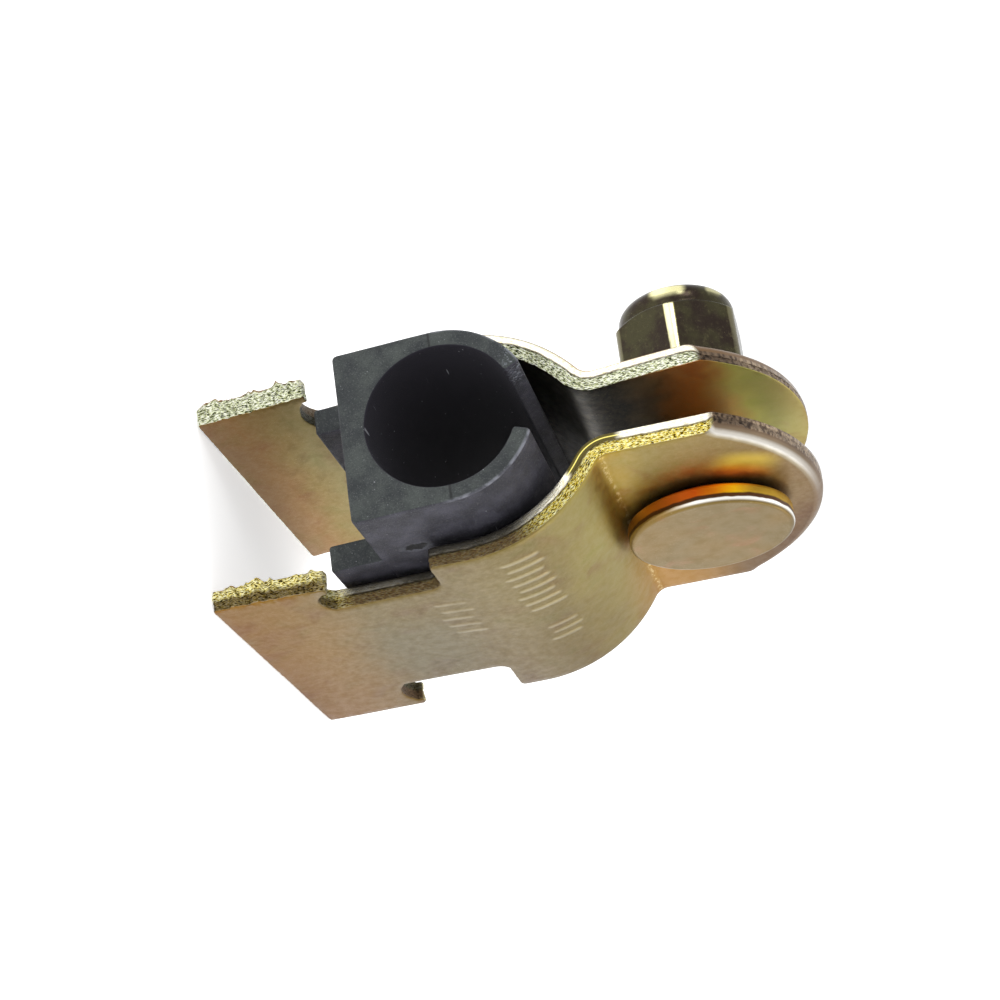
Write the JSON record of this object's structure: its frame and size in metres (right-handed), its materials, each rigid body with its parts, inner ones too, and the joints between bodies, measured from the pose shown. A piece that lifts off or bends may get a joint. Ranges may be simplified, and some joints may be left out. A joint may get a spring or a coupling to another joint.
{
  "type": "cushioned channel clamp",
  "caption": "Two hooked stamped plates bolted at their ears around a split rubber liner that holds a small pipe or rod on a lipped channel.",
  "frame": {"origin": "centre of the pipe bore, midway along the liner", "axes": "+Y along the pipe, +Z from the hooked feet to the bolted ears, +X towards the side of the bolt's head"},
  "size_m": [0.0281, 0.0378, 0.0527],
  "materials": {
    "plate_zinc": "satin yellow zinc plate with a faint rainbow tint",
    "liner_rubber": "matt moulded elastomer",
    "bolt_zinc": "satin yellow zinc plate",
    "nut_bronze": "glossy dark olive-bronze plate",
    "ring_nylon": "natural nylon"
  },
  "bodies": {
    "head_half": {"head_side_plate": "plate_zinc", "shoulder_bolt": "bolt_zinc", "rubber_liner": "liner_rubber"},
    "nut_half": {"nut_side_plate": "plate_zinc"},
    "nut_carrier": {"nylon_ring": "ring_nylon"},
    "nut": {"lock_nut": "nut_bronze"}
  },
  "joints": [
    {"name": "nut_side_swing", "type": "hinge", "parent": "head_half", "child": "nut_half", "pos_m": [-0.00336, 0.00375, 0.01881], "axis": [0, 1, 0], "range_deg": [0, 12]},
    {"name": "lock_nut_travel", "type": "slide", "parent": "head_half", "child": "nut_carrier", "axis": [-0.9994, 0, 0.0349], "range_m": [-0.0035, 0.0035]},
    {"name": "lock_nut_turn", "type": "hinge", "parent": "nut_carrier", "child": "nut", "pos_m": [-0.00858, 0.00375, 0.01922], "axis": [-0.9994, 0, 0.0349], "range_deg": [-993, 993]}
  ],
  "couplings": [
    {"joint": "lock_nut_turn", "follows": "lock_nut_travel", "rad_per_m": 4947.4}
  ]
}
